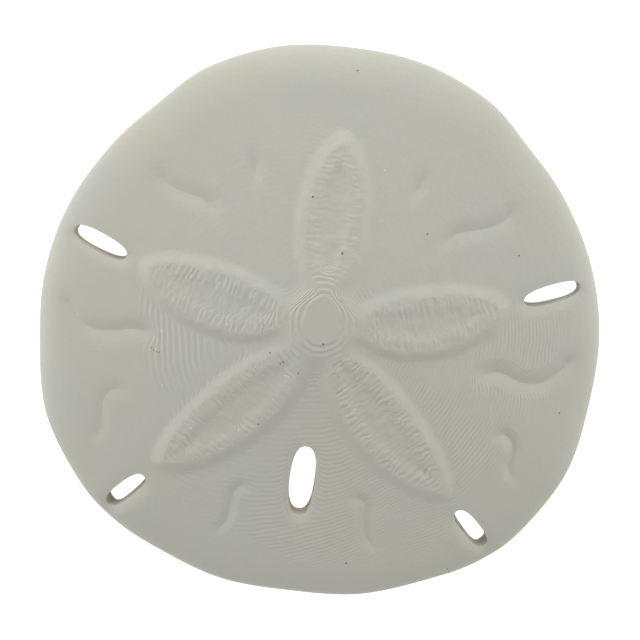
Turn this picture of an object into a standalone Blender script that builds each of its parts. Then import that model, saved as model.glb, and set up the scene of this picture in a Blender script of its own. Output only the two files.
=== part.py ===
"""A printed plastic sand dollar: a low dome with a star of five petals, ten shallow ripples and five slots.

It is one solid piece with a flat underside. Lengths here are millimetres, and the mesh is made in metres.
+X is to the right, +Y towards the front petal and +Z up. The origin is on the underside, below the middle
of the star. The side and rear petals and the outer slots come in pairs mirrored about the plane x = 0. The
outline and the ripples are nearly symmetrical.
"""
import math

import bpy
import numpy as np
from mathutils import Vector
from mathutils.geometry import delaunay_2d_cdt

MM = 0.001
SIDES = (1, -1)

# The outline seen from above: degrees from +Y about its own centre, and the radius there on the right and on
# the left.
OUTLINE_CENTRE = (0.0, -2.2)
OUTLINE = ((0, 39.95, 39.95), (15, 40.2, 40.3), (30, 40.1, 40.2), (42, 39.2, 39.3), (55, 39.35, 39.4),
           (70, 39.8, 39.85), (85, 40.3, 40.2), (100, 40.75, 40.5), (115, 42.2, 41.85), (130, 42.65, 42.1),
           (140, 42.4, 41.9), (150, 41.45, 41.15), (165, 40.9, 40.75), (180, 40.15, 40.15))

# The dome falls away from a flat oval at its top, and more steeply outwards. Its height lines follow the
# outline, as if that were a circle of DOME_RADIUS. It ends in a rounded rim above a short upright edge.
DOME_CENTRE = (0.15, 0.3)
DOME_HEIGHT = 7.84
DOME_RADIUS = 40.0
DOME_SLOPE = 0.11
DOME_CURVE = 0.0008
OVAL_HALF_SIZE = (2.6, 3.6)
RIM_ROUND_WIDTH = 6.0
RIM_ROUND_DROP = 1.6

# A petal is a blunt lens on a slightly bowed middle line: (root, tip, sideways bow at its middle).
PETAL_HALF_WIDTH = 6.0
PETAL_ROOT_POWER = 0.5
PETAL_TIP_POWER = 0.55
FRONT_PETAL = ((0.0, 1.8), (0.15, 26.9), 0.0)
SIDE_PETAL = ((2.8, -0.9), (27.1, 4.4), -0.95)
REAR_PETAL = ((0.9, -3.2), (21.85, -25.45), -0.95)

# The petals and the hub run together into a star that rises from its outline over FLANK_WIDTH. Each petal has
# a soft sunken band along its middle that ends near the hub. For the front, right, left, rear right and rear
# left petals: how far inside the edges the middle of the band's wall lies, how wide the wall is and how far
# it falls.
HUB_CENTRE, HUB_RADIUS = (0.0, -1.3), 6.5
STAR_BLEND = 2.0
FLANK_WIDTH = 2.4
EDGE_HEIGHT = 0.56
BAND_DEPTHS = (4.2, 4.2, 4.2, 4.0, 4.0)
BAND_WALLS = (1.7, 2.2, 2.2, 1.9, 1.9)
BAND_DROPS = (0.33, 0.25, 0.25, 0.27, 0.27)
PLAIN_RADIUS, PLAIN_FADE = 4.5, 4.0

# The ripples are shallow grooves with a narrow rounded bottom that run out at both ends: five on the right
# side, and their fellows on the left. Each has its own width to either side, its share of the depth, and the
# length over which it runs out.
RIPPLE_ROUNDING = 0.25
RIPPLE_DEPTH = 0.42
RIPPLE_REACHES = (2.5, 1.9, 2.5, 1.7, 1.6, 2.7, 1.7, 2.5, 2.0, 1.7)
RIPPLE_SHARES = (1.1, 1.2, 1.3, 1.4, 1.2, 1.2, 1.1, 1.2, 0.7, 0.95)
RIPPLE_RUN_OUTS = (2.3, 4.0, 3.0, 3.0, 2.5, 2.3, 3.5, 2.5, 2.0, 2.5)
RIPPLES = (
    ((15.4, 11.1), (16.4, 12.7), (17.4, 13.7), (18.6, 14.1), (20.2, 14.5), (21.8, 15.0), (23.1, 15.6),
     (24.3, 16.4), (25.0, 17.7), (25.3, 19.2)),
    ((12.9, 23.0), (11.8, 20.7), (10.7, 17.9), (10.1, 16.4)),
    ((22.9, -7.2), (23.6, -6.3), (24.7, -5.7), (26.1, -5.5), (27.6, -5.9), (29.1, -6.6), (30.6, -6.8),
     (32.3, -6.6), (33.5, -5.9), (34.7, -4.8), (35.6, -3.7), (36.3, -2.5), (36.9, -0.8)),
    ((26.0, -15.0), (28.1, -14.6), (29.0, -15.2), (29.6, -16.1), (29.8, -17.4), (29.7, -18.6), (29.6, -19.7),
     (30.0, -20.7), (31.2, -21.8)),
    ((6.8, -26.6), (8.4, -26.2), (9.6, -27.2), (9.9, -29.4), (10.2, -31.4), (10.8, -32.9), (12.2, -34.3)),
    ((-16.2, 12.3), (-17.4, 14.0), (-19.5, 14.8), (-21.8, 15.3), (-24.0, 16.3), (-25.5, 18.5)),
    ((-12.9, 23.0), (-11.9, 20.5), (-11.4, 18.3), (-11.4, 16.6)),
    ((-23.4, -6.6), (-24.6, -5.4), (-26.2, -5.1), (-28.8, -5.7), (-31.4, -6.0), (-33.6, -5.4), (-35.6, -3.2),
     (-37.0, -0.9)),
    ((-26.1, -14.6), (-27.8, -14.2), (-29.2, -15.0), (-29.8, -16.7), (-29.7, -18.9), (-29.8, -20.8),
     (-31.2, -22.6)),
    ((-6.8, -26.6), (-8.4, -26.2), (-9.6, -27.2), (-9.9, -29.4), (-10.2, -31.4), (-10.8, -32.9),
     (-12.2, -34.3)),
)

# The slots go right through: (middle, length, width, degrees from +Y, how far the outer end and the rear side
# lean inwards down to the underside). Their upper lips are rounded, most on the rear side.
SIDE_SLOT = ((32.35, 6.5), 8.4, 2.8, 69.0, 0.4, 0.1)
REAR_SIDE_SLOT = ((25.3, -29.4), 7.3, 2.7, 137.0, 1.1, 0.25)
REAR_SLOT = ((0.0, -24.5), 10.9, 3.7, 180.0, 0.1, 0.0)
SLOT_SQUARENESS = 2.5
LIP_WIDTH = 1.8
LIP_DROP = 0.42
LIP_SHARES = (0.05, 1.0)

# How fine the mesh is.
GRID_PITCH = 1.7
OUTLINE_POINTS = 150
RIM_RINGS = (0.5, 1.5, 3.0, 4.7)
SLOT_POINTS = 28
LIP_RINGS = (0.5, 1.3)
PETAL_POINTS = 48
PETAL_RINGS = (-0.4, 0.4, 1.2, 2.0, 2.9, 3.8, 4.8)
RIPPLE_PITCH = 1.0
RIPPLE_RINGS = (0.0, 0.6, 1.3)
CLEARANCE = 0.42
RING_CLEARANCE = 0.3
GRID_CLEARANCE = 0.7 * GRID_PITCH
GRID_REACH = 46.0


def clear_scene():
    for thing in list(bpy.data.objects):
        bpy.data.objects.remove(thing, do_unlink=True)


def heading(degrees):
    """The unit vector that points so many degrees clockwise from +Y."""
    return np.array([math.sin(math.radians(degrees)), math.cos(math.radians(degrees))])


def smooth_curve(points, steps, closed=False):
    """A Catmull-Rom curve through the points, with so many steps between neighbours."""
    points = np.asarray(points, float)
    if closed:
        points = np.vstack((points[-1], points, points[:2]))
    else:
        points = np.vstack((2 * points[0] - points[1], points, 2 * points[-1] - points[-2]))
    t = np.arange(steps)[:, None] / steps
    pieces = []
    for a, b, c, d in zip(points, points[1:], points[2:], points[3:]):
        pieces.append(0.5 * (2 * b + (c - a) * t + (2 * a - 5 * b + 4 * c - d) * t**2
                             + (3 * b - a - 3 * c + d) * t**3))
    if not closed:
        pieces.append(points[-2:-1])
    return np.vstack(pieces)


def spread(curve, count, closed=True):
    """So many points at even distances along a curve."""
    if closed:
        curve = np.vstack((curve, curve[:1]))
    along = np.concatenate(([0], np.cumsum(np.linalg.norm(np.diff(curve, axis=0), axis=1))))
    wanted = np.linspace(0, along[-1], count + 1)[:-1] if closed else np.linspace(0, along[-1], count)
    return np.column_stack([np.interp(wanted, along, curve[:, k]) for k in (0, 1)])


def distance_to(xy, curve, closed=True):
    """Each point's distance to a curve of straight pieces."""
    ends = np.roll(curve, -1, axis=0) if closed else curve[1:]
    starts = curve if closed else curve[:-1]
    nearest = np.full(len(xy), np.inf)
    for start, end in zip(starts, ends):
        piece = end - start
        share = np.clip((xy - start) @ piece / (piece @ piece), 0, 1)
        nearest = np.minimum(nearest, np.linalg.norm(xy - start - share[:, None] * piece, axis=1))
    return nearest


def inside(xy, loop):
    """Whether each point lies inside a closed loop."""
    result = np.zeros(len(xy), bool)
    for (x0, y0), (x1, y1) in zip(loop, np.roll(loop, -1, axis=0)):
        if y0 == y1:
            continue
        crosses = (y0 > xy[:, 1]) != (y1 > xy[:, 1])
        result ^= crosses & (xy[:, 0] < x0 + (xy[:, 1] - y0) * (x1 - x0) / (y1 - y0))
    return result


def depth_inside(xy, loop):
    """The distance to a loop, counted positive inside it."""
    return np.where(inside(xy, loop), 1, -1) * distance_to(xy, loop)


def is_clockwise(loop):
    ahead = np.roll(loop, -1, axis=0)
    return np.sum(loop[:, 0] * ahead[:, 1] - loop[:, 1] * ahead[:, 0]) < 0


def ease(value):
    """A smooth step from 0 to 1."""
    value = np.clip(value, 0, 1)
    return value * value * (3 - 2 * value)


def outline_loop():
    right = [(angle, radius) for angle, radius, _ in OUTLINE]
    left = [(-angle, radius) for angle, _, radius in OUTLINE[-2:0:-1]]
    points = [np.array(OUTLINE_CENTRE) + radius * heading(angle) for angle, radius in right + left]
    return spread(smooth_curve(points, 12, closed=True), OUTLINE_POINTS)


def petal_loop(petal, side):
    """The edge of a petal, from its root along one side to the tip and back."""
    root, tip, bow = petal
    root = np.array((side * root[0], root[1]))
    chord = np.array((side * tip[0], tip[1])) - root
    across = np.array((-chord[1], chord[0])) / np.linalg.norm(chord) * side
    t = (1 - np.cos(np.linspace(0, math.pi, 41))) / 2
    shape = t**PETAL_ROOT_POWER * (1 - t)**PETAL_TIP_POWER
    width = PETAL_HALF_WIDTH * shape / shape.max()
    middle = root + t[:, None] * chord + (4 * bow * t * (1 - t))[:, None] * across
    edges = (middle + width[:, None] * across, middle - width[:, None] * across)
    return spread(np.vstack((edges[0], edges[1][-2:0:-1])), PETAL_POINTS)


def slot_loop(slot, side):
    """The oval of a slot, a little squarer than an ellipse."""
    (x, y), length, width, angle, *_ = slot
    along = heading(angle) * (side, 1)
    across = np.array((along[1], -along[0]))
    turn = np.linspace(0, 2 * math.pi, 120, endpoint=False)
    u = np.sign(np.cos(turn)) * np.abs(np.cos(turn))**(2 / SLOT_SQUARENESS) * length / 2
    v = np.sign(np.sin(turn)) * np.abs(np.sin(turn))**(2 / SLOT_SQUARENESS) * width / 2
    oval = np.array((side * x, y)) + u[:, None] * along + v[:, None] * across
    return spread(oval, SLOT_POINTS)


def foot_loop(slot, side, loop):
    """The oval where the slot meets the underside, point by point below the loop."""
    (x, y), length, width, angle, shorter, narrower = slot
    along = heading(angle) * (side, 1)
    across = np.array((along[1], -along[0]))
    across *= -np.sign(across[1]) or 1
    out = np.clip((loop - (side * x, y)) @ along / (length / 2), 0, 1)[:, None]**2
    back = np.clip((loop - (side * x, y)) @ across / (width / 2), 0, 1)[:, None]**2
    return loop - shorter * out * along - narrower * back * across


OUTER = outline_loop()
PETALS = [petal_loop(FRONT_PETAL, 1)]
PETALS += [petal_loop(petal, side) for petal in (SIDE_PETAL, REAR_PETAL) for side in SIDES]
SLOT_SIDES = [(REAR_SLOT, 1)] + [(slot, side) for slot in (SIDE_SLOT, REAR_SIDE_SLOT) for side in SIDES]
SLOTS = [slot_loop(slot, side) for slot, side in SLOT_SIDES]
FEET = [foot_loop(slot, side, loop) for (slot, side), loop in zip(SLOT_SIDES, SLOTS)]
RIPPLE_LINES = [smooth_curve(points, 3) for points in RIPPLES]


def dome(xy):
    xy, outer = xy - DOME_CENTRE, OUTER - DOME_CENTRE
    bearing = np.arctan2(outer[:, 0], outer[:, 1])
    order = np.argsort(bearing)
    here = np.arctan2(xy[:, 0], xy[:, 1])
    reach = np.interp(here, bearing[order], np.hypot(*outer[order].T), period=2 * math.pi)
    share = np.hypot(xy[:, 0], xy[:, 1]) / reach
    oval = 1 / np.hypot(np.sin(here) / OVAL_HALF_SIZE[0], np.cos(here) / OVAL_HALF_SIZE[1])
    out = np.clip(DOME_RADIUS * share - oval * (1 - share), 0, None)
    return DOME_HEIGHT - DOME_SLOPE * out - DOME_CURVE * out**2


def rim_drop(xy):
    """How far the rounded rim falls below the dome."""
    share = np.clip(1 - distance_to(xy, OUTER) / RIM_ROUND_WIDTH, 0, 1)
    return RIM_ROUND_DROP * (1 - np.sqrt(1 - share**2))


def blend(first, second):
    """The larger of two, rounded where they are nearly equal."""
    close = np.clip(STAR_BLEND - np.abs(first - second), 0, None) / STAR_BLEND
    return np.maximum(first, second) + close**2 * STAR_BLEND / 4


def star(xy):
    """The height that the petals and the hub add, with the bands in them."""
    out_of_hub = ease((np.hypot(xy[:, 0], xy[:, 1]) - PLAIN_RADIUS) / PLAIN_FADE)
    union = HUB_RADIUS - np.hypot(xy[:, 0] - HUB_CENTRE[0], xy[:, 1] - HUB_CENTRE[1])
    sunk = np.zeros(len(xy))
    for loop, band, wall, drop in zip(PETALS, BAND_DEPTHS, BAND_WALLS, BAND_DROPS):
        depth = depth_inside(xy, loop)
        union = blend(union, depth)
        sunk = np.maximum(sunk, drop * ease((depth - band) / wall + 0.5))
    return EDGE_HEIGHT * ease(union / FLANK_WIDTH) - sunk * out_of_hub


def ripples(xy):
    """The depth of the grooves."""
    deepest = np.zeros(len(xy))
    for line, reach, strength, run_out in zip(RIPPLE_LINES, RIPPLE_REACHES, RIPPLE_SHARES, RIPPLE_RUN_OUTS):
        along = np.concatenate(([0], np.cumsum(np.linalg.norm(np.diff(line, axis=0), axis=1))))
        depths = RIPPLE_DEPTH * strength * ease(np.minimum(along, along[-1] - along) / run_out)
        for start, end, first, last in zip(line, line[1:], depths, depths[1:]):
            piece = end - start
            share = np.clip((xy - start) @ piece / (piece @ piece), 0, 1)
            apart = np.hypot(np.linalg.norm(xy - start - share[:, None] * piece, axis=1), RIPPLE_ROUNDING)
            here = (first + (last - first) * share) * np.clip(1 - apart / reach, 0, 1)**2
            deepest = np.maximum(deepest, here)
    return deepest


def lips(xy):
    """How far the rounded lips of the slots fall."""
    drop = np.zeros(len(xy))
    least, most = LIP_SHARES
    for loop in SLOTS:
        apart = -depth_inside(xy, loop)
        frontwards = (-depth_inside(xy + (0, 0.05), loop) - apart) / 0.05
        strength = least + (most - least) * (0.5 - 0.5 * np.clip(frontwards, -1, 1))
        drop = np.maximum(drop, LIP_DROP * strength * np.clip(1 - apart / LIP_WIDTH, 0, 1)**2)
    return drop


def height(xy):
    return dome(xy) - rim_drop(xy) + star(xy) - ripples(xy) - lips(xy)


def right_of(curve, closed=True):
    """The unit vectors that point to the right of a curve, at each of its points."""
    ahead = np.roll(curve, -1, axis=0) - np.roll(curve, 1, axis=0) if closed else np.gradient(curve, axis=0)
    return np.column_stack((ahead[:, 1], -ahead[:, 0])) / np.linalg.norm(ahead, axis=1)[:, None]


def offset_loop(loop, distance):
    """The loop moved inwards, or outwards for a negative distance."""
    return loop + right_of(loop) * (distance if is_clockwise(loop) else -distance)


def keep_clear(points, kept, gap):
    """The points that are at least a gap away from all those kept so far."""
    return np.array([p for p in points if np.min(np.sum((kept - p)**2, axis=1)) > gap * gap]).reshape(-1, 2)


def ripple_points(line):
    """Points along a ripple's middle, along its walls and along its edges."""
    length = np.sum(np.linalg.norm(np.diff(line, axis=0), axis=1))
    middle = spread(line, 1 + round(length / RIPPLE_PITCH), closed=False)
    normal = right_of(middle, closed=False)
    return [middle + normal * distance * side for distance in RIPPLE_RINGS for side in SIDES]


def grid_points():
    rows = np.arange(-GRID_REACH, GRID_REACH, GRID_PITCH * math.sqrt(3) / 2)
    columns = np.arange(-GRID_REACH, GRID_REACH, GRID_PITCH)
    return np.array([(x + (k % 2) * GRID_PITCH / 2, y) for k, y in enumerate(rows) for x in columns])


def surface_points():
    """The boundary loops, then points along every feature, then a grid that fills the rest."""
    loops = [OUTER] + SLOTS
    layers = [(offset_loop(OUTER, distance), RING_CLEARANCE) for distance in RIM_RINGS]
    layers += [(offset_loop(loop, -distance), RING_CLEARANCE) for loop in SLOTS for distance in LIP_RINGS]
    layers += [(offset_loop(loop, distance), CLEARANCE) for distance in PETAL_RINGS for loop in PETALS]
    layers += [(points, CLEARANCE) for line in RIPPLE_LINES for points in ripple_points(line)]
    layers.append((grid_points(), GRID_CLEARANCE))
    kept = np.vstack(loops)
    for points, gap in layers:
        points = points[inside(points, OUTER)]
        for loop in SLOTS:
            points = points[~inside(points, loop)]
        kept = np.vstack((kept, keep_clear(points, kept, gap)))
    return kept, loops


def triangulate(points, loops):
    """Triangles over the outline that leave the slots open. The loops are the first of the points."""
    edges = []
    start = 0
    for loop in loops:
        count = len(loop)
        edges += [(start + k, start + (k + 1) % count) for k in range(count)]
        start += count
    vertices, _, faces, *_ = delaunay_2d_cdt([Vector(p) for p in points], edges, [], 0, 1e-5)
    flat = np.array([tuple(v) for v in vertices])
    faces = np.array([tuple(face) for face in faces])
    middles = flat[faces].mean(axis=1)
    keep = inside(middles, loops[0])
    for loop in loops[1:]:
        keep &= ~inside(middles, loop)
    return flat, faces[keep]


def shell_mesh(name):
    """The dome above, the flat underside, and the walls of the edge and the slots."""
    points, loops = surface_points()
    flat, faces = triangulate(points, loops)
    feet = [OUTER] + FEET
    under_flat, under_faces = triangulate(np.vstack(feet), feet)
    top = np.column_stack((flat, height(flat)))
    under = np.column_stack((under_flat, np.zeros(len(under_flat))))
    first_under = len(top)
    walls = []
    start = 0
    for k, loop in enumerate(loops):
        count = len(loop)
        for j in range(count):
            a, b = start + j, start + (j + 1) % count
            if is_clockwise(loop) == (k == 0):
                a, b = b, a
            walls += [(a, first_under + a, first_under + b), (a, first_under + b, b)]
        start += count
    triangles = np.vstack((faces, first_under + under_faces[:, ::-1], walls))
    mesh = bpy.data.meshes.new(name)
    mesh.from_pydata((np.vstack((top, under)) * MM).tolist(), [], triangles.tolist())
    return mesh


def bone_plastic():
    material = bpy.data.materials.new("bone_plastic")
    material.use_nodes = True
    shader = material.node_tree.nodes["Principled BSDF"]
    shader.inputs["Base Color"].default_value = (0.56, 0.565, 0.494, 1.0)
    shader.inputs["Roughness"].default_value = 0.6
    shader.inputs["Metallic"].default_value = 0.0
    return material


def sand_dollar():
    mesh = shell_mesh("sand_dollar")
    mesh.materials.append(bone_plastic())
    mesh.shade_smooth()
    mesh.set_sharp_from_angle(angle=math.radians(45))
    body = bpy.data.objects.new("sand_dollar", mesh)
    bpy.context.collection.objects.link(body)


clear_scene()
sand_dollar()
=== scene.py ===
"""The looks of a printed plastic sand dollar that lies on a white table, seen from above.

The relief repeats the part's own named dimensions, in millimetres, on a much finer mesh. It adds what a
printer
leaves: steps between its layers, small grooves and lumps in the petals and a few specks. Its colour also
holds painted shade in the slots and a few painted glints.
"""

import math

import bpy
import numpy as np
from mathutils import Matrix, Vector, noise
from mathutils.geometry import delaunay_2d_cdt
from mathutils.kdtree import KDTree


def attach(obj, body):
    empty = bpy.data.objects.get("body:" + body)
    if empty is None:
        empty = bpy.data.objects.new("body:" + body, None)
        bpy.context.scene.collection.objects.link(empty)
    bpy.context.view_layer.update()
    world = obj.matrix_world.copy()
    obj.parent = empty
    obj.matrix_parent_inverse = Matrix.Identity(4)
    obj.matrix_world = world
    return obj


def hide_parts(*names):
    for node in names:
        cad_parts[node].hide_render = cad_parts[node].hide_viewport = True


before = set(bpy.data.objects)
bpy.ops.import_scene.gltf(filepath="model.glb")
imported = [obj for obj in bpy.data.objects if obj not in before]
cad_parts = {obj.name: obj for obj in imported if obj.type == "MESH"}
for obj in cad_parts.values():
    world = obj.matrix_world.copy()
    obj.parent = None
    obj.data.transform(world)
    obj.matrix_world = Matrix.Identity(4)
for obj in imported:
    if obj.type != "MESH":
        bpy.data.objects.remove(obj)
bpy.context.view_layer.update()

MM = 0.001
SIDES = (1, -1)

# The outline seen from above: degrees from +Y about its own centre, and the radius there on the right and on
# the left.
OUTLINE_CENTRE = (0.0, -2.2)
OUTLINE = ((0, 39.95, 39.95), (15, 40.2, 40.3), (30, 40.1, 40.2), (42, 39.2, 39.3), (55, 39.35, 39.4),
           (70, 39.8, 39.85), (85, 40.3, 40.2), (100, 40.75, 40.5), (115, 42.2, 41.85), (130, 42.65, 42.1),
           (140, 42.4, 41.9), (150, 41.45, 41.15), (165, 40.9, 40.75), (180, 40.15, 40.15))

# The dome falls away from a flat oval at its top, and more steeply outwards. Its height lines follow the
# outline, as if that were a circle of DOME_RADIUS. It ends in a rounded rim above a short upright edge.
DOME_CENTRE = (0.15, 0.3)
DOME_HEIGHT = 7.84
DOME_RADIUS = 40.0
DOME_SLOPE = 0.11
DOME_CURVE = 0.0008
OVAL_HALF_SIZE = (2.6, 3.6)
RIM_ROUND_WIDTH = 6.0
RIM_ROUND_DROP = 1.6

# A petal is a blunt lens on a slightly bowed middle line: (root, tip, sideways bow at its middle).
PETAL_HALF_WIDTH = 6.0
PETAL_ROOT_POWER = 0.5
PETAL_TIP_POWER = 0.55
FRONT_PETAL = ((0.0, 1.8), (0.15, 26.9), 0.0)
SIDE_PETAL = ((2.8, -0.9), (27.1, 4.4), -0.95)
REAR_PETAL = ((0.9, -3.2), (21.85, -25.45), -0.95)

# The petals and the hub run together into a star that rises from its outline over FLANK_WIDTH. Each petal has
# a soft sunken band along its middle that ends near the hub. For the front, right, left, rear right and rear
# left petals: how far inside the edges the middle of the band's wall lies, how wide the wall is and how far
# it falls.
HUB_CENTRE, HUB_RADIUS = (0.0, -1.3), 6.5
STAR_BLEND = 2.0
FLANK_WIDTH = 2.4
EDGE_HEIGHT = 0.56
BAND_DEPTHS = (4.2, 4.2, 4.2, 4.0, 4.0)
BAND_WALLS = (1.7, 2.2, 2.2, 1.9, 1.9)
BAND_DROPS = (0.33, 0.25, 0.25, 0.27, 0.27)
PLAIN_RADIUS, PLAIN_FADE = 4.5, 4.0

# The ripples are shallow grooves with a narrow rounded bottom that run out at both ends: five on the right
# side, and their fellows on the left. Each has its own width to either side, its share of the depth, and the
# length over which it runs out.
RIPPLE_ROUNDING = 0.25
RIPPLE_DEPTH = 0.42
RIPPLE_REACHES = (2.5, 1.9, 2.5, 1.7, 1.6, 2.7, 1.7, 2.5, 2.0, 1.7)
RIPPLE_SHARES = (1.1, 1.2, 1.3, 1.4, 1.2, 1.2, 1.1, 1.2, 0.7, 0.95)
RIPPLE_RUN_OUTS = (2.3, 4.0, 3.0, 3.0, 2.5, 2.3, 3.5, 2.5, 2.0, 2.5)
RIPPLES = (
    ((15.4, 11.1), (16.4, 12.7), (17.4, 13.7), (18.6, 14.1), (20.2, 14.5), (21.8, 15.0), (23.1, 15.6),
     (24.3, 16.4), (25.0, 17.7), (25.3, 19.2)),
    ((12.9, 23.0), (11.8, 20.7), (10.7, 17.9), (10.1, 16.4)),
    ((22.9, -7.2), (23.6, -6.3), (24.7, -5.7), (26.1, -5.5), (27.6, -5.9), (29.1, -6.6), (30.6, -6.8),
     (32.3, -6.6), (33.5, -5.9), (34.7, -4.8), (35.6, -3.7), (36.3, -2.5), (36.9, -0.8)),
    ((26.0, -15.0), (28.1, -14.6), (29.0, -15.2), (29.6, -16.1), (29.8, -17.4), (29.7, -18.6), (29.6, -19.7),
     (30.0, -20.7), (31.2, -21.8)),
    ((6.8, -26.6), (8.4, -26.2), (9.6, -27.2), (9.9, -29.4), (10.2, -31.4), (10.8, -32.9), (12.2, -34.3)),
    ((-16.2, 12.3), (-17.4, 14.0), (-19.5, 14.8), (-21.8, 15.3), (-24.0, 16.3), (-25.5, 18.5)),
    ((-12.9, 23.0), (-11.9, 20.5), (-11.4, 18.3), (-11.4, 16.6)),
    ((-23.4, -6.6), (-24.6, -5.4), (-26.2, -5.1), (-28.8, -5.7), (-31.4, -6.0), (-33.6, -5.4), (-35.6, -3.2),
     (-37.0, -0.9)),
    ((-26.1, -14.6), (-27.8, -14.2), (-29.2, -15.0), (-29.8, -16.7), (-29.7, -18.9), (-29.8, -20.8),
     (-31.2, -22.6)),
    ((-6.8, -26.6), (-8.4, -26.2), (-9.6, -27.2), (-9.9, -29.4), (-10.2, -31.4), (-10.8, -32.9),
     (-12.2, -34.3)),
)

# The slots go right through: (middle, length, width, degrees from +Y, how far the outer end and the rear side
# lean inwards down to the underside). Their upper lips are rounded, most on the rear side.
SIDE_SLOT = ((32.35, 6.5), 8.4, 2.8, 69.0, 0.4, 0.1)
REAR_SIDE_SLOT = ((25.3, -29.4), 7.3, 2.7, 137.0, 1.1, 0.25)
REAR_SLOT = ((0.0, -24.5), 10.9, 3.7, 180.0, 0.1, 0.0)
SLOT_SQUARENESS = 2.5
LIP_WIDTH = 1.8
LIP_DROP = 0.42
LIP_SHARES = (0.05, 1.0)
LIP_PROBE = 0.05

# The print: the height of the first layer and of the others, the share of a layer where the surface climbs to
# the next one, and how much of the climb is done there. Seen from the top downwards, the layers are stretched
# on the left and squeezed on the right: two places across, and the share there. Places steeper than STEEP are
# smooth. Points within SNAP of the edge of a step are moved onto it. LAYER_COUNT is more than the piece has.
TOP = DOME_HEIGHT + EDGE_HEIGHT
FIRST_LAYER = 0.15
LAYER = 0.1
LAYER_COUNT = 100
LAYER_SIDES = ((-16.0, 16.0), (1.3, 0.85))
STEP_SHARE = 0.42
STEP_CLIMB = 0.88
STEEP = 0.6
SNAP = 0.002

# How strongly the steps show: on the left and on the right, with the two places across. These strengths are
# multiplied by a share towards the front, between the rear petals, in the ripples, in the petals and beyond
# STEP_REACH, which lies further out on the right and in the rear. Steps below WEAKEST_STEPS are left out.
STEP_SIDES = ((-12.0, 12.0), (1.5, 1.8))
STEP_REACH, STEP_REACH_SHIFTS, STEP_FADE = 25.7, (4.3, 8.3), 8.0
OUTER_STEPS = 0.02
FRONT_STEPS, FRONT_START, FRONT_FADE = 0.25, -1.0, 7.0
REAR_STEPS, REAR_START, REAR_FADE = 0.42, 6.0, 6.0
REAR_WIDEST, REAR_SIDE_FADE = 0.72, 0.15
RIPPLE_STEPS, RIPPLE_FADE = 0.3, 0.15
PETAL_STEPS = 0.35
WEAKEST_STEPS = 0.1

# Round the hub and on the star's flanks they have strengths of their own. The hub's leaves out the open field
# between the petals from OPEN_START outwards. The flanks' begins at FLANK_START from the middle, and reaches
# FLANK_MARGIN past the flank.
HUB_STEPS, HUB_STEPS_REACH, HUB_STEPS_FADE = 2.0, 4.5, 5.0
OPEN_START, OPEN_FADE, OPEN_DEPTH = 3.5, 1.5, 2.0
FLANK_STEPS, FLANK_START, FLANK_FADE = 0.25, 3.8, 1.5
FLANK_EDGE, FLANK_MARGIN = 0.8, 0.4

# Lumps, each as height, width and the seed of its pattern: over all the dome in two sizes, of which the
# smaller ones fade in from the middle, and in the petals, where they are weaker near the hub.
WAVES = (0.03, 5.0, 8.5)
WOBBLES, WOBBLE_START = (0.026, 2.2, 2.5), 6.0
PETAL_LUMPS, HUB_LUMP_SHARE = (0.07, 1.1, 3.5), 0.3

# Small grooves lie across the petals on both sides of the band: how deep in each petal, in the same order,
# and how far apart. They wander along the petal in wide and in narrow bends, are out of step on the two sides
# of its middle line, are uneven in depth, and are shallower in the band and gone at the flanks.
PORE_DROPS = (0.045, 0.09, 0.09, 0.125, 0.11)
PORE_PITCH = 0.84
PORE_BENDS = (0.5, 2.0, 5.5)
PORE_KINKS = (0.4, 1.0, 1.5)
PORE_SHIFT, PORE_SHIFT_WIDTH = 0.15, 0.4
PORE_DEPTH_SHARE, PORE_PATCHES = 0.75, (0.9, 1.4, 9.5)
PORE_BAND_SHARE, PORE_BAND_EDGE, PORE_BAND_FADE = 0.35, 0.64, 0.8
PORE_START, PORE_FADE = FLANK_WIDTH - 0.5, 0.6

# How fine the curves and the mesh are, and how close together the mesh's points may come.
OUTLINE_SAMPLES, PETAL_SAMPLES, SLOT_SAMPLES, RIPPLE_SAMPLES = 24, 61, 200, 4
OUTLINE_POINTS = 420
PETAL_POINTS = 90
SLOT_PITCH = 0.3
RING_GAP, PORE_GAP, RIPPLE_GAP = 0.05, 0.12, 0.25
STAR_GAP_SHARE, DOME_GAP_SHARE = 0.6, 0.7
RIM_RINGS = (0.06, 0.2, 0.45, 0.8, 1.3, 1.9, 2.7, 3.6, 4.7, 6.0)
LIP_RINGS = (0.08, 0.22, 0.42, 0.7, 1.1, 1.7)
RIPPLE_RINGS = (0.0, 0.35, 0.8, 1.4, 2.1)
RIPPLE_PITCH = 0.45
STAR_PITCH = 0.42
STAR_MARGIN, HUB_MARGIN = 0.6, 2.0
PORE_STEP = PORE_PITCH / 4
PORE_ACROSS = 0.42
PORE_ROWS_LENGTH, PORE_ROWS_EDGE = 34.0, 2.1
DOME_PITCH = 0.8
GRID_REACH = 46.0
WELD, HAIR = 1e-5, 1e-9

PIECE = "printed_sand_dollar"
SHARP_ANGLE = math.radians(10)

# How far the slots' walls take on painted shade, a darker and browner colour, at the underside, in the order
# of the slots. It grows from none at the upper lip, and stops at 1, which is all of it.
SLOT_SHADE_ATTRIBUTE = "slot_painted_shade"
SLOT_SHADE_AMOUNTS = (1.7, 0.9, 0.9, 1.2, 1.2)

# The plastic's colours, as the share of light that comes back, then the widths of its warm patches and of its
# grain, its roughness, and the light that goes a little way through it.
PLASTIC = (0.56, 0.565, 0.494)
PLASTIC_WARM = (0.58, 0.565, 0.479)
# The third colour is painted shade: the darker, browner colour that the slot walls take on towards the
# underside.
PAINTED_SLOT_SHADE = (0.34, 0.3, 0.2)
WARM_PATCHES, WARM_RANGE = 14.0, (0.35, 0.65)
GRAIN, GRAIN_RANGE = 0.5, (0.3, 0.7)
GRAIN_SHADE, GRAIN_SHARE = 0.95, 0.4
ROUGHNESS = (0.5, 0.62)
GLOW_SHARE, GLOW_COLOURS, GLOW_DEPTH = 0.12, (1.0, 0.9, 0.6), 0.6

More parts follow.
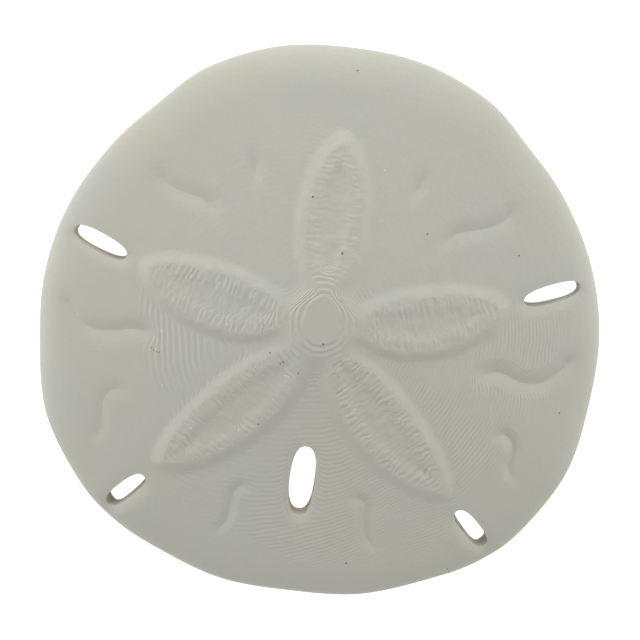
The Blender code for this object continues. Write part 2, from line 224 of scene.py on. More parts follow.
# The finest relief is bump: the edges of the layers on upright walls, the slanting strokes of the first layer
# on the underside, which reaches up to UNDER_HEIGHT, and a grain.
BEAD_WIDTH = 0.45
UNDER_HEIGHT = 0.2
UPRIGHT_RANGE = (0.6, 0.2)
WALL_RELIEF, UNDER_RELIEF, GRAIN_RELIEF = 0.012, 0.02, 0.012

# Dark specks in the plastic, and pale painted glints: (across, along, radius). Both fade out between two
# shares of the radius.
SPECK, SPECK_SHARE = (0.05, 0.045, 0.04), 0.85
PAINTED_GLINT, PAINTED_GLINT_SHARE = (0.8, 0.8, 0.74), 0.7
SPECK_EDGE = (1.2, 0.7)
SPECKS = ((-3.2, 16.9, 0.14), (1.8, 9.6, 0.16), (0.6, -3.4, 0.14), (13.4, 13.4, 0.12), (26.8, 11.6, 0.12),
          (35.7, -10.7, 0.13), (7.8, -36.5, 0.14), (-6.7, -5.7, 0.13), (1.0, 34.8, 0.12), (-7.2, -16.4, 0.12),
          (-23.5, -7.4, 0.09), (-23.2, -7.7, 0.1), (-22.8, -7.9, 0.08), (-22.4, -7.9, 0.1),
          (22.7, -36.1, 0.1), (23.0, -36.5, 0.08), (23.1, -36.8, 0.1), (-4.7, -6.8, 0.1), (-2.4, -8.1, 0.11),
          (-5.1, -7.0, 0.08))
# The pale spots are painted glints, as of light on tiny lumps of plastic.
PAINTED_GLINTS = ((-22.3, -4.8, 0.13), (-14.9, 3.3, 0.14), (-13.2, -2.4, 0.12), (-8.6, -8.0, 0.14),
               (-16.7, -18.3, 0.15), (-5.8, -1.7, 0.12), (6.4, 21.6, 0.14), (-34.7, -4.3, 0.12),
               (-21.5, -12.7, 0.13), (-2.9, -5.5, 0.11))

# The white table and the light: (name, place, width, power). The brightest light is beyond the front petal,
# and lower ones stand at the sides and behind.
TABLE_HEIGHT = -0.05
TABLE_HALF_WIDTH = 4000.0
TABLE_COLOUR, TABLE_ROUGHNESS, TABLE_GLOW = (0.3, 0.3, 0.3, 1), 0.8, 1.0
WHITE = (1, 1, 1, 1)
WORLD_STRENGTH = 0.284
LIGHTS = (
    ("front_light", (-92, 794, 510), 600, 5.1),
    ("left_light", (-864, -100, 230), 600, 3.6),
    ("right_light", (864, 100, 230), 600, 3.0),
    ("rear_light", (92, -794, 230), 600, 0.85),
)

# The camera looks down from a little towards the front petal, and the sand dollar lies turned under it.
CAMERA_DISTANCE = 315.0
CAMERA_TILT = 11.0
CAMERA_ROLL = 6.6
CAMERA_TARGET = (-0.13, -1.05, 3.0)
PIXELS_PER_MM = 7.0
PICTURE_PIXELS = 640
SENSOR_WIDTH = 36.0
NEAREST_SEEN = 10.0


def heading(degrees):
    """The unit vector that points so many degrees clockwise from +Y."""
    return np.array([math.sin(math.radians(degrees)), math.cos(math.radians(degrees))])


def smooth_curve(points, steps, closed=False):
    """A Catmull-Rom curve through the points, with so many steps between neighbours."""
    points = np.asarray(points, float)
    if closed:
        points = np.vstack((points[-1], points, points[:2]))
    else:
        points = np.vstack((2 * points[0] - points[1], points, 2 * points[-1] - points[-2]))
    t = np.arange(steps)[:, None] / steps
    pieces = []
    for a, b, c, d in zip(points, points[1:], points[2:], points[3:]):
        pieces.append(0.5 * (2 * b + (c - a) * t + (2 * a - 5 * b + 4 * c - d) * t**2
                             + (3 * b - a - 3 * c + d) * t**3))
    if not closed:
        pieces.append(points[-2:-1])
    return np.vstack(pieces)


def way_along(curve):
    """How far along the curve each of its points lies."""
    return np.concatenate(([0], np.cumsum(np.linalg.norm(np.diff(curve, axis=0), axis=1))))


def even_points(curve, count):
    """So many points at even distances from one end of a curve to the other."""
    along = way_along(curve)
    wanted = np.linspace(0, along[-1], count)
    return np.column_stack([np.interp(wanted, along, curve[:, k]) for k in (0, 1)])


def spread(loop, count):
    """So many points at even distances round a closed loop."""
    return even_points(np.vstack((loop, loop[:1])), count + 1)[:-1]


def distance_to(xy, loop):
    """Each point's distance to a closed loop of straight pieces."""
    nearest = np.full(len(xy), np.inf)
    for start, end in zip(loop, np.roll(loop, -1, axis=0)):
        piece = end - start
        share = np.clip((xy - start) @ piece / (piece @ piece), 0, 1)
        apart = xy - start - share[:, None] * piece
        nearest = np.minimum(nearest, apart[:, 0]**2 + apart[:, 1]**2)
    return np.sqrt(nearest)


def inside(xy, loop):
    """Whether each point lies inside a closed loop."""
    result = np.zeros(len(xy), bool)
    for (x0, y0), (x1, y1) in zip(loop, np.roll(loop, -1, axis=0)):
        if y0 == y1:
            continue
        crosses = (y0 > xy[:, 1]) != (y1 > xy[:, 1])
        result ^= crosses & (xy[:, 0] < x0 + (xy[:, 1] - y0) * (x1 - x0) / (y1 - y0))
    return result


def depth_inside(xy, loop):
    """The distance to a loop, counted positive inside it."""
    return np.where(inside(xy, loop), 1, -1) * distance_to(xy, loop)


def is_clockwise(loop):
    """Whether the loop runs clockwise, seen from above."""
    ahead = np.roll(loop, -1, axis=0)
    return np.sum(loop[:, 0] * ahead[:, 1] - loop[:, 1] * ahead[:, 0]) < 0


def offset_loop(loop, distance):
    """The loop moved inwards, or outwards for a negative distance."""
    ahead = np.roll(loop, -1, axis=0) - np.roll(loop, 1, axis=0)
    right = np.column_stack((ahead[:, 1], -ahead[:, 0])) / np.linalg.norm(ahead, axis=1)[:, None]
    return loop + right * (distance if is_clockwise(loop) else -distance)


def ease(value):
    """A smooth step from 0 to 1."""
    value = np.clip(value, 0, 1)
    return value * value * (3 - 2 * value)


def lessened(share, where):
    """The factor that is 1 where where is 0, and the share where it is 1."""
    return 1 - (1 - share) * where


def outline_loop():
    """The outer edge, clockwise from the front."""
    right = [(angle, radius) for angle, radius, _ in OUTLINE]
    left = [(-angle, radius) for angle, _, radius in OUTLINE[-2:0:-1]]
    points = [np.array(OUTLINE_CENTRE) + radius * heading(angle) for angle, radius in right + left]
    return spread(smooth_curve(points, OUTLINE_SAMPLES, closed=True), OUTLINE_POINTS)


def petal_frame(petal, side):
    """The root of a petal and the unit vectors along and across it."""
    root, tip, _ = petal
    root = np.array((side * root[0], root[1]))
    chord = np.array((side * tip[0], tip[1])) - root
    along = chord / np.linalg.norm(chord)
    return root, along, np.array((-along[1], along[0])) * side


def petal_loop(petal, side):
    """The edge of a petal, from its root along one side to the tip and back."""
    root, along, across = petal_frame(petal, side)
    chord = (np.array((side * petal[1][0], petal[1][1])) - root) @ along * along
    t = (1 - np.cos(np.linspace(0, math.pi, PETAL_SAMPLES))) / 2
    shape = t**PETAL_ROOT_POWER * (1 - t)**PETAL_TIP_POWER
    width = PETAL_HALF_WIDTH * shape / shape.max()
    middle = root + t[:, None] * chord + (4 * petal[2] * t * (1 - t))[:, None] * across
    edges = (middle + width[:, None] * across, middle - width[:, None] * across)
    return spread(np.vstack((edges[0], edges[1][-2:0:-1])), PETAL_POINTS)


def slot_loop(slot, side):
    """The oval of a slot, a little squarer than an ellipse."""
    (x, y), length, width, angle, *_ = slot
    along = heading(angle) * (side, 1)
    across = np.array((along[1], -along[0]))
    turn = np.linspace(0, 2 * math.pi, SLOT_SAMPLES, endpoint=False)
    u = np.sign(np.cos(turn)) * np.abs(np.cos(turn))**(2 / SLOT_SQUARENESS) * length / 2
    v = np.sign(np.sin(turn)) * np.abs(np.sin(turn))**(2 / SLOT_SQUARENESS) * width / 2
    oval = np.array((side * x, y)) + u[:, None] * along + v[:, None] * across
    return spread(oval, round(way_along(oval)[-1] / SLOT_PITCH))


def foot_loop(slot, side, loop):
    """The oval where the slot meets the underside, point by point below the loop. across points rearwards."""
    (x, y), length, width, angle, shorter, narrower = slot
    along = heading(angle) * (side, 1)
    across = np.array((along[1], -along[0]))
    across *= -np.sign(across[1]) or 1
    out = np.clip((loop - (side * x, y)) @ along / (length / 2), 0, 1)[:, None]**2
    back = np.clip((loop - (side * x, y)) @ across / (width / 2), 0, 1)[:, None]**2
    return loop - shorter * out * along - narrower * back * across


OUTER = outline_loop()
PETAL_SIDES = [(FRONT_PETAL, 1)] + [(petal, side) for petal in (SIDE_PETAL, REAR_PETAL) for side in SIDES]
PETALS = [petal_loop(petal, side) for petal, side in PETAL_SIDES]
SLOT_SIDES = [(REAR_SLOT, 1)] + [(slot, side) for slot in (SIDE_SLOT, REAR_SIDE_SLOT) for side in SIDES]
SLOTS = [slot_loop(slot, side) for slot, side in SLOT_SIDES]
FEET = [foot_loop(slot, side, loop) for (slot, side), loop in zip(SLOT_SIDES, SLOTS)]
RIPPLE_LINES = [smooth_curve(points, RIPPLE_SAMPLES) for points in RIPPLES]


def dome(xy):
    """The height of the plain dome."""
    xy, outer = xy - DOME_CENTRE, OUTER - DOME_CENTRE
    bearing = np.arctan2(outer[:, 0], outer[:, 1])
    order = np.argsort(bearing)
    here = np.arctan2(xy[:, 0], xy[:, 1])
    reach = np.interp(here, bearing[order], np.hypot(*outer[order].T), period=2 * math.pi)
    share = np.hypot(xy[:, 0], xy[:, 1]) / reach
    oval = 1 / np.hypot(np.sin(here) / OVAL_HALF_SIZE[0], np.cos(here) / OVAL_HALF_SIZE[1])
    out = np.clip(DOME_RADIUS * share - oval * (1 - share), 0, None)
    return DOME_HEIGHT - DOME_SLOPE * out - DOME_CURVE * out**2


def rim_drop(xy):
    """How far the rounded rim falls below the dome."""
    share = np.clip(1 - distance_to(xy, OUTER) / RIM_ROUND_WIDTH, 0, 1)
    return RIM_ROUND_DROP * (1 - np.sqrt(1 - share**2))


def lumps(xy, size, width, seed):
    """Smooth uneven lumps of about one width each, between -size and size."""
    return size * np.array([noise.noise(Vector((x / width, y / width, seed))) for x, y in xy])


def blend(first, second):
    """The larger of two, rounded where they are nearly equal."""
    close = np.clip(STAR_BLEND - np.abs(first - second), 0, None) / STAR_BLEND
    return np.maximum(first, second) + close**2 * STAR_BLEND / 4


def pores(xy, petal, side, out_of_band):
    """How deep the small grooves across one petal are, from 0 to about 1. out_of_band is how far outside the
    band each point lies."""
    root, along, across = petal_frame(petal, side)
    u, v = (xy - root) @ along, (xy - root) @ across
    u = u + lumps(xy, *PORE_BENDS) + lumps(xy, *PORE_KINKS)
    turn = 2 * math.pi * (u / PORE_PITCH + PORE_SHIFT * np.tanh(v / PORE_SHIFT_WIDTH))
    uneven = np.clip(PORE_DEPTH_SHARE + lumps(xy, *PORE_PATCHES), 0, None)
    in_band = 1 - ease((out_of_band + PORE_BAND_EDGE) / PORE_BAND_FADE)
    return (0.5 + 0.5 * np.cos(turn)) * uneven * lessened(PORE_BAND_SHARE, in_band)


def hub_depth(xy):
    """How far inside the round hub each point lies."""
    return HUB_RADIUS - np.hypot(xy[:, 0] - HUB_CENTRE[0], xy[:, 1] - HUB_CENTRE[1])


def star(xy):
    """The height that the petals and the hub add, with the bands, grooves and lumps in them."""
    out_of_hub = ease((np.hypot(xy[:, 0], xy[:, 1]) - PLAIN_RADIUS) / PLAIN_FADE)
    union = hub_depth(xy)
    sunk = np.zeros(len(xy))
    bands = zip(BAND_DEPTHS, BAND_WALLS, BAND_DROPS, PORE_DROPS)
    for (petal, side), loop, (band, wall, sink, drop) in zip(PETAL_SIDES, PETALS, bands):
        depth = depth_inside(xy, loop)
        union = blend(union, depth)
        trough = sink * ease((depth - band) / wall + 0.5)
        groove = drop * pores(xy, petal, side, band - depth) * ease((depth - PORE_START) / PORE_FADE)
        sunk = np.maximum(sunk, trough + groove)
    raised = ease(union / FLANK_WIDTH)
    rough = lumps(xy, *PETAL_LUMPS) * raised * lessened(HUB_LUMP_SHARE, 1 - out_of_hub)
    return EDGE_HEIGHT * raised - sunk * out_of_hub + rough


def ripples(xy):
    """The depth of the grooves."""
    deepest = np.zeros(len(xy))
    for line, reach, strength, run_out in zip(RIPPLE_LINES, RIPPLE_REACHES, RIPPLE_SHARES, RIPPLE_RUN_OUTS):
        along = way_along(line)
        depths = RIPPLE_DEPTH * strength * ease(np.minimum(along, along[-1] - along) / run_out)
        for start, end, first, last in zip(line, line[1:], depths, depths[1:]):
            piece = end - start
            share = np.clip((xy - start) @ piece / (piece @ piece), 0, 1)
            apart = np.hypot(np.linalg.norm(xy - start - share[:, None] * piece, axis=1), RIPPLE_ROUNDING)
            here = (first + (last - first) * share) * np.clip(1 - apart / reach, 0, 1)**2
            deepest = np.maximum(deepest, here)
    return deepest


def lips(xy):
    """How far the rounded lips of the slots fall, which is most on their rear sides."""
    drop = np.zeros(len(xy))
    least, most = LIP_SHARES
    for loop in SLOTS:
        apart = -depth_inside(xy, loop)
        frontwards = (-depth_inside(xy + (0, LIP_PROBE), loop) - apart) / LIP_PROBE
        strength = least + (most - least) * (0.5 - 0.5 * np.clip(frontwards, -1, 1))
        drop = np.maximum(drop, LIP_DROP * strength * np.clip(1 - apart / LIP_WIDTH, 0, 1)**2)
    return drop


def height(xy):
    """The height of the dome with all its relief but the printed steps."""
    waves = lumps(xy, *WAVES) + lumps(xy, *WOBBLES) * ease(np.hypot(xy[:, 0], xy[:, 1]) / WOBBLE_START)
    return dome(xy) - rim_drop(xy) + star(xy) - ripples(xy) - lips(xy) + waves


def keep_clear(points, kept, gap):
    """The points that are at least a gap away from all those kept so far."""
    tree = KDTree(len(kept))
    for k, (x, y) in enumerate(kept):
        tree.insert((x, y, 0), k)
    tree.balance()
    return np.array([p for p in points if tree.find((p[0], p[1], 0))[2] > gap]).reshape(-1, 2)


def grid_points(pitch):
    """Points in a triangular grid over everything."""
    rows = np.arange(-GRID_REACH, GRID_REACH, pitch * math.sqrt(3) / 2)
    columns = np.arange(-GRID_REACH, GRID_REACH, pitch)
    return np.array([(x + (k % 2) * pitch / 2, y) for k, y in enumerate(rows) for x in columns])


def ripple_points():
    """Rows of points along the bottoms of the grooves and beside them."""
    rows = []
    for line in RIPPLE_LINES:
        ahead = np.gradient(line, axis=0)
        right = np.column_stack((ahead[:, 1], -ahead[:, 0])) / np.linalg.norm(ahead, axis=1)[:, None]
        for distance in RIPPLE_RINGS:
            for way in SIDES:
                row = line + way * distance * right
                rows.append(even_points(row, round(way_along(row)[-1] / RIPPLE_PITCH) + 1))
    return rows


def pore_points():
    """Rows of points across each petal, close enough to hold its small grooves."""
    groups = []
    for (petal, side), loop in zip(PETAL_SIDES, PETALS):
        root, along, across = petal_frame(petal, side)
        u, v = np.meshgrid(np.arange(0, PORE_ROWS_LENGTH, PORE_STEP),
                           np.arange(-PETAL_HALF_WIDTH, PETAL_HALF_WIDTH, PORE_ACROSS))
        points = root + u.reshape(-1, 1) * along + v.reshape(-1, 1) * across
        far = np.hypot(points[:, 0], points[:, 1]) > PLAIN_RADIUS
        groups.append(points[(depth_inside(points, loop) > PORE_ROWS_EDGE) & far])
    return groups


def surface_points():
    """The boundary loops, then rings beside them, a fine grid in the star and a coarser one elsewhere."""
    loops = [OUTER] + SLOTS
    layers = [(offset_loop(OUTER, distance), RING_GAP) for distance in RIM_RINGS]
    layers += [(offset_loop(loop, -distance), RING_GAP) for loop in SLOTS for distance in LIP_RINGS]
    layers += [(points, PORE_GAP) for points in pore_points()]
    layers += [(row, RIPPLE_GAP) for row in ripple_points()]
    fine = grid_points(STAR_PITCH)
    in_star = hub_depth(fine) > -HUB_MARGIN
    for loop in PETALS:
        in_star |= depth_inside(fine, loop) > -STAR_MARGIN
    layers.append((fine[in_star], STAR_GAP_SHARE * STAR_PITCH))
    layers.append((grid_points(DOME_PITCH), DOME_GAP_SHARE * DOME_PITCH))
    kept = np.vstack(loops)
    for points, gap in layers:
        points = points[inside(points, OUTER)]
        for loop in SLOTS:
            points = points[~inside(points, loop)]
        kept = np.vstack((kept, keep_clear(points, kept, gap)))
    return kept, loops


def triangulate(points, loops):
    """Triangles over the outline that leave the slots open. The loops are the first of the points."""
    edges = []
    start = 0
    for loop in loops:
        count = len(loop)
        edges += [(start + k, start + (k + 1) % count) for k in range(count)]
        start += count
    vertices, _, faces, *_ = delaunay_2d_cdt([Vector(p) for p in points], edges, [], 0, WELD)
    flat = np.array([tuple(v) for v in vertices])
    faces = np.array([tuple(face) for face in faces])
    middles = flat[faces].mean(axis=1)
    keep = inside(middles, loops[0])
    for loop in loops[1:]:
        keep &= ~inside(middles, loop)
    return flat, faces[keep]


def layer_scale(x):
    """How many times LAYER the layers are there."""
    return np.interp(x, *LAYER_SIDES)


def step_strength(xy):
    """How strongly the printed steps show there."""
    x, y = xy.T
    radius = np.hypot(x, y) + HAIR
    between_rear_petals = ease((REAR_WIDEST - np.abs(x) / radius) / REAR_SIDE_FADE)
    behind = ease((-y - REAR_START) / REAR_FADE) * between_rear_petals
    reach = STEP_REACH + STEP_REACH_SHIFTS[0] * x / radius + STEP_REACH_SHIFTS[1] * behind
    in_star = hub_depth(xy)
    for loop in PETALS:
        in_star = np.maximum(in_star, depth_inside(xy, loop))
    strength = np.interp(x, *STEP_SIDES)
    strength *= lessened(OUTER_STEPS, ease((radius - reach) / STEP_FADE))
    strength *= lessened(FRONT_STEPS, ease((y - FRONT_START) / FRONT_FADE))
    strength *= lessened(REAR_STEPS, behind)
    strength *= lessened(RIPPLE_STEPS, ease(ripples(xy) / RIPPLE_FADE))
    strength *= lessened(PETAL_STEPS, ease(in_star / FLANK_WIDTH))

    open_field = (1 - ease(in_star / OPEN_DEPTH)) * ease((radius - OPEN_START) / OPEN_FADE)
    at_hub = (1 - ease((radius - HUB_STEPS_REACH) / HUB_STEPS_FADE)) * (1 - open_field)
    strength += (HUB_STEPS - strength) * at_hub
    on_flank = ease(in_star / FLANK_EDGE) * ease((FLANK_WIDTH + FLANK_MARGIN - in_star) / FLANK_EDGE)
    return strength + (FLANK_STEPS - strength) * on_flank * ease((radius - FLANK_START) / FLANK_FADE)


def printed(points):
    """The points, moved up to the height of the printed steps. The fourth number counts the layers."""
    x, y, z, count = points.T
    phase = (count - FIRST_LAYER) / LAYER % 1
    climbing = phase / STEP_SHARE * STEP_CLIMB
    resting = STEP_CLIMB + (phase - STEP_SHARE) / (1 - STEP_SHARE) * (1 - STEP_CLIMB)
    rise = (np.where(phase < STEP_SHARE, climbing, resting) - phase) * LAYER * layer_scale(x)
    return np.column_stack((x, y, z + step_strength(points[:, :2]) * rise))


class LayerCuts:
    """Cuts triangles along the levels where a step begins or ends. Points hold x, y, z and a layer count."""

    def __init__(self, points, levels):
        self.points = [tuple(p) for p in points]
        self.levels = levels
        self.on_edges = {}

    def levels_between(self, low, high):
        """The levels that lie between two layer counts."""
        first, last = np.searchsorted(self.levels, (low + HAIR, high - HAIR))
        return self.levels[first:last]

    def cut_edge(self, a, b):
        """The new points on an edge, from a to b, made where the levels cross it."""
        low, high = min(a, b), max(a, b)
        if (low, high) not in self.on_edges:
            start, end = np.array(self.points[low]), np.array(self.points[high])
            levels = self.levels_between(*sorted((start[3], end[3])))
            if start[3] > end[3]:
                levels = levels[::-1]
            count = len(self.points)
            self.on_edges[low, high] = list(range(count, count + len(levels)))
            for level in levels:
                place = start + (end - start) * (level - start[3]) / (end[3] - start[3])
                self.points.append((*place[:3], float(level)))
        return self.points_on_edge(a, b)

    def points_on_edge(self, a, b):
        """The new points that an edge already has, from a to b."""
        fresh = self.on_edges.get((min(a, b), max(a, b)), [])
        return fresh if a < b else fresh[::-1]

    def bands(self, a, b, c):
        """The pieces of a triangle, each between two levels."""
        loop = [a, *self.cut_edge(a, b), b, *self.cut_edge(b, c), c, *self.cut_edge(c, a)]
        counts = [self.points[v][3] for v in loop]
        bounds = [min(counts), *self.levels_between(min(counts), max(counts)), max(counts)]
        for bottom, top in zip(bounds, bounds[1:]):
            band = [v for v, count in zip(loop, counts) if bottom - HAIR <= count <= top + HAIR]
            if len(band) > 2:
                yield band

    def joined(self, a, b, c):
        """A triangle that isn't cut, joined to the new points that its neighbours made on its edges."""
        loop = [a, *self.points_on_edge(a, b), b, *self.points_on_edge(b, c), c, *self.points_on_edge(c, a)]
        if len(loop) == 3:
            return [loop]
        middle = len(self.points)
        self.points.append(tuple(np.mean([self.points[a], self.points[b], self.points[c]], axis=0)))
        return [[p, q, middle] for p, q in zip(loop, loop[1:] + loop[:1])]


def layer_counts(points):
    """The points with their layer count, down from the top, snapped to the levels, and the levels."""
    levels = np.sort(np.concatenate([FIRST_LAYER + (np.arange(LAYER_COUNT) + share) * LAYER
                                     for share in (0, STEP_SHARE)]))
    scale = layer_scale(points[:, 0])
    count = TOP - (TOP - points[:, 2]) / scale
    near = np.clip(np.searchsorted(levels, count), 1, len(levels) - 1)
    for level in (levels[near - 1], levels[near]):
        count = np.where(np.abs(count - level) < SNAP, level, count)
    return np.column_stack((points[:, :2], TOP - (TOP - count) * scale, count)), levels


def cut_layers(points, faces, border):
    """Cuts the triangles where a step begins or ends, and moves them to the stepped height. Steep triangles,
    those with hardly any steps and those at the border, which holds the first points, stay whole."""
    points, levels = layer_counts(points)
    corners = points[faces][:, :, :3]
    sides = np.cross(corners[:, 1] - corners[:, 0], corners[:, 2] - corners[:, 0])
    gentle = np.hypot(sides[:, 0], sides[:, 1]) < STEEP * np.abs(sides[:, 2])
    gentle &= (faces >= border).all(axis=1)
    gentle &= (step_strength(points[:, :2]) > WEAKEST_STEPS)[faces].any(axis=1)
    cuts = LayerCuts(points, levels)
    polygons = [band for face in faces[gentle].tolist() for band in cuts.bands(*face)]
    stepped = np.union1d(faces[gentle], np.arange(len(points), len(cuts.points)))
    polygons += [piece for face in faces[~gentle].tolist() for piece in cuts.joined(*face)]
    made = np.array(cuts.points)
    made[stepped, :3] = printed(made[stepped])
    return made[:, :3], polygons


def printed_body():
    """The stepped dome above, the flat underside, and the upright walls of the edge and the slots."""
    points, loops = surface_points()
    border = len(np.vstack(loops))
    flat, faces = triangulate(points, loops)
    top, polygons = cut_layers(np.column_stack((flat, height(flat))), faces, border)
    feet = [OUTER] + FEET
    under, under_faces = triangulate(np.vstack(feet), feet)
    first_under = len(top)
    walls = []
    start = 0
    for k, loop in enumerate(loops):
        count = len(loop)
        for j in range(count):
            a, b = start + j, start + (j + 1) % count
            if is_clockwise(loop) == (k == 0):
                a, b = b, a
            walls.append((a, first_under + a, first_under + b, b))
        start += count
    mesh = bpy.data.meshes.new(PIECE)
    vertices = np.vstack((top, np.column_stack((under, np.zeros(border))))) * MM
    mesh.from_pydata(vertices.tolist(), [], polygons + walls + (first_under + under_faces[:, ::-1]).tolist())
    mesh.shade_smooth()
    mesh.set_sharp_from_angle(angle=SHARP_ANGLE)
    # Painted shade in the slots: 0 at the upper lips, growing to each slot's amount at the underside.
    painted_shades = [np.full(len(loop), painted_shade) for loop, painted_shade in zip(SLOTS, SLOT_SHADE_AMOUNTS)]
    painted_shade = mesh.attributes.new(SLOT_SHADE_ATTRIBUTE, "FLOAT", "POINT")
    painted_shade.data.foreach_set("value", np.concatenate((np.zeros(first_under + len(OUTER)), *painted_shades)))
    body = bpy.data.objects.new(PIECE, mesh)
    bpy.context.collection.objects.link(body)
    mesh.materials.append(bone_plastic())
    return body


class Nodes:
    """A short way to add nodes to a material and to join them."""

    def __init__(self, tree):
        self.tree = tree

    def add(self, kind, settings=None, **inputs):
        node = self.tree.nodes.new("ShaderNode" + kind)
        for name, value in (settings or {}).items():
            setattr(node, name, value)
        for name, value in inputs.items():
            self.feed(node, name, value)
        return node

    def feed(self, node, name, value):
        """Joins or sets an input, by its name with _ for a space, or by its number after a _."""
        socket = node.inputs[int(name[1:])] if name[0] == "_" else node.inputs[name.replace("_", " ")]
        if isinstance(value, bpy.types.NodeSocket):
            self.tree.links.new(value, socket)
        elif isinstance(value, bpy.types.Node):
            self.tree.links.new(value.outputs[0], socket)
        else:
            socket.default_value = value

    def math(self, operation, *values, clamp=False):
        settings = {"operation": operation, "use_clamp": clamp}
        return self.add("Math", settings, **{f"_{k}": value for k, value in enumerate(values)})

    def mix(self, share, first, second):
        """A colour between two, by the share of the second."""
        node = self.add("Mix", {"data_type": "RGBA"}, _0=share)
        self.feed(node, "_6", first if isinstance(first, bpy.types.NodeSocket) else (*first, 1))
        self.feed(node, "_7", second if isinstance(second, bpy.types.NodeSocket) else (*second, 1))
        return node.outputs[2]

    def noise(self, where, width, detail=2.0):
        """Uneven patches of about one width each, in millimetres, around 0.5."""
        return self.add("TexNoise", Vector=where, Scale=1 / (width * MM), Detail=detail).outputs[0]

    def ramp(self, value, low, high):
        """From 0 at low to 1 at high."""
        return self.add("MapRange", Value=value, From_Min=low, From_Max=high).outputs[0]


def specks_and_glints(nodes, across, places):
    """1 on the specks and painted glints at the places, and 0 elsewhere. across holds the place without its
    height.
    """
    total = None
    outer, inner = SPECK_EDGE
    for x, y, radius in places:
        place = (x * MM, y * MM, 0)
        distance = nodes.add("VectorMath", {"operation": "DISTANCE"}, _0=across, _1=place).outputs["Value"]
        spot = nodes.ramp(distance, outer * radius * MM, inner * radius * MM)
        total = spot if total is None else nodes.math("MAXIMUM", total, spot)
    return total


def plastic_colour(nodes, place, parts, grain, above):
    """Bone white in warmer and cooler patches, with a grain, painted shade in the slots, dark specks and
    painted glints.
    """
    patches = nodes.ramp(nodes.noise(place, WARM_PATCHES), *WARM_RANGE)
    colour = nodes.mix(patches, PLASTIC, PLASTIC_WARM)
    darker = tuple(GRAIN_SHADE * value for value in PLASTIC)
    colour = nodes.mix(nodes.math("MULTIPLY", grain, GRAIN_SHARE), colour, darker)
    # Painted shade: the slot walls turn darker and browner towards the underside.
    slot_shade = nodes.add("Attribute", {"attribute_name": SLOT_SHADE_ATTRIBUTE}).outputs["Fac"]
    colour = nodes.mix(nodes.math("MULTIPLY", slot_shade, above, clamp=True), colour, PAINTED_SLOT_SHADE)
    across = nodes.add("CombineXYZ", X=parts.outputs["X"], Y=parts.outputs["Y"]).outputs[0]
    # The pale spots are painted glints; the dark ones are specks in the plastic.
    kinds = ((PAINTED_GLINTS, PAINTED_GLINT, PAINTED_GLINT_SHARE), (SPECKS, SPECK, SPECK_SHARE))
    for places, spot_colour, share in kinds:
        spots = nodes.math("MULTIPLY", specks_and_glints(nodes, across, places), above)
        colour = nodes.mix(nodes.math("MULTIPLY", spots, share), colour, spot_colour)
    return colour


def plastic_relief(nodes, parts, grain, above):
    """The height of the finest relief, in metres."""
    layers = nodes.math("SINE", nodes.math("MULTIPLY", parts.outputs["Z"], 2 * math.pi / (LAYER * MM)))
    normal = nodes.add("NewGeometry").outputs["Normal"]
    facing_up = nodes.math("ABSOLUTE", nodes.add("SeparateXYZ", Vector=normal).outputs["Z"])
    upright = nodes.ramp(facing_up, *UPRIGHT_RANGE)
    on_walls = nodes.math("MULTIPLY", layers, nodes.math("MULTIPLY", upright, WALL_RELIEF * MM))
    slant = nodes.math("ADD", parts.outputs["X"], parts.outputs["Y"])
    turns = 2 * math.pi / (BEAD_WIDTH * math.sqrt(2) * MM)
    strokes = nodes.math("SINE", nodes.math("MULTIPLY", slant, turns))
    below = nodes.math("SUBTRACT", 1.0, above)
    on_underside = nodes.math("MULTIPLY", strokes, nodes.math("MULTIPLY", below, UNDER_RELIEF * MM))
    everywhere = nodes.math("MULTIPLY", grain, GRAIN_RELIEF * MM)
    return nodes.math("ADD", nodes.math("ADD", on_walls, on_underside), everywhere)


def bone_plastic():
    """Satin bone-white plastic, a little uneven in colour, with painted shade inside the slots."""
    material = bpy.data.materials.new("bone_plastic")
    material.use_nodes = True
    nodes = Nodes(material.node_tree)
    shader = material.node_tree.nodes["Principled BSDF"]
    place = nodes.add("TexCoord").outputs["Object"]
    parts = nodes.add("SeparateXYZ", Vector=place)
    above = nodes.math("GREATER_THAN", parts.outputs["Z"], UNDER_HEIGHT * MM)
    grain = nodes.ramp(nodes.noise(place, GRAIN, detail=3.0), *GRAIN_RANGE)
    roughness = nodes.add("MapRange", Value=grain, To_Min=ROUGHNESS[0], To_Max=ROUGHNESS[1])
    bump = nodes.add("Bump", Strength=1.0, Distance=1.0, Height=plastic_relief(nodes, parts, grain, above))
    nodes.feed(shader, "Base_Color", plastic_colour(nodes, place, parts, grain, above))
    nodes.feed(shader, "Roughness", roughness.outputs[0])
    nodes.feed(shader, "Normal", bump.outputs[0])
    shader.inputs["Subsurface Weight"].default_value = GLOW_SHARE
    shader.inputs["Subsurface Radius"].default_value = GLOW_COLOURS
    shader.inputs["Subsurface Scale"].default_value = GLOW_DEPTH * MM
    return material


def white_table():
    """A grey that glows to white, so that no shadow shows on it."""
    material = bpy.data.materials.new("white_table")
    material.use_nodes = True
    shader = material.node_tree.nodes["Principled BSDF"]
    shader.inputs["Base Color"].default_value = TABLE_COLOUR
    shader.inputs["Roughness"].default_value = TABLE_ROUGHNESS
    shader.inputs["Emission Color"].default_value = WHITE
    shader.inputs["Emission Strength"].default_value = TABLE_GLOW
    return material


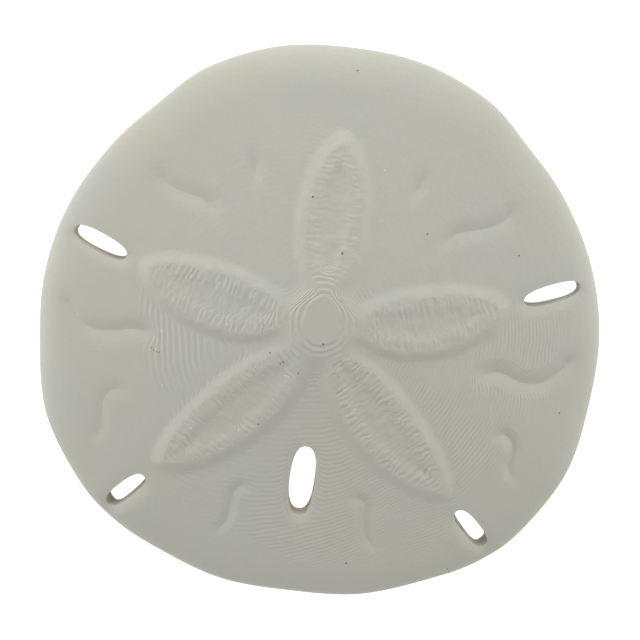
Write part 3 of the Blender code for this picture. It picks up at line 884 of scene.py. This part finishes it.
def table_top():
    """The white table, just under the piece."""
    mesh = bpy.data.meshes.new("table_top")
    half = TABLE_HALF_WIDTH
    corners = [(-half, -half, TABLE_HEIGHT), (half, -half, TABLE_HEIGHT), (half, half, TABLE_HEIGHT),
               (-half, half, TABLE_HEIGHT)]
    mesh.from_pydata([[value * MM for value in corner] for corner in corners], [], [(0, 1, 2, 3)])
    mesh.materials.append(white_table())
    table = bpy.data.objects.new("table_top", mesh)
    bpy.context.collection.objects.link(table)


def soft_lights():
    """Large soft lights, each given by where it stands, how wide it is and its power."""
    for name, place, width, power in LIGHTS:
        data = bpy.data.lights.new(name, "AREA")
        data.shape = "DISK"
        data.size = width * MM
        data.energy = power
        light = bpy.data.objects.new(name, data)
        light.location = Vector(place) * MM
        light.rotation_euler = light.location.to_track_quat("Z", "Y").to_euler()
        bpy.context.collection.objects.link(light)
    world = bpy.data.worlds.new("tent")
    bpy.context.scene.world = world
    world.use_nodes = True
    background = world.node_tree.nodes["Background"]
    background.inputs["Color"].default_value = WHITE
    background.inputs["Strength"].default_value = WORLD_STRENGTH


def camera():
    """A camera with its lens set by the scale of the photo at the target."""
    tilt = math.radians(CAMERA_TILT)
    roll = math.radians(CAMERA_ROLL)
    right = Vector((math.cos(roll), math.sin(roll), 0))
    ahead = Vector((-math.sin(roll), math.cos(roll), 0))
    back = Vector((0, 0, math.cos(tilt))) + ahead * math.sin(tilt)
    up = back.cross(right)
    data = bpy.data.cameras.new("camera")
    data.sensor_width = SENSOR_WIDTH
    data.lens = data.sensor_width * PIXELS_PER_MM * CAMERA_DISTANCE / PICTURE_PIXELS
    data.clip_start = NEAREST_SEEN * MM
    view = bpy.data.objects.new("camera", data)
    turn = Matrix((right, up, back)).transposed().to_4x4()
    view.matrix_world = Matrix.Translation((Vector(CAMERA_TARGET) + back * CAMERA_DISTANCE) * MM) @ turn
    bpy.context.collection.objects.link(view)
    bpy.context.scene.camera = view


body = printed_body()
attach(body, "root")
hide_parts("sand_dollar")
table_top()
soft_lights()
camera()
bpy.context.scene.view_settings.view_transform = "Standard"
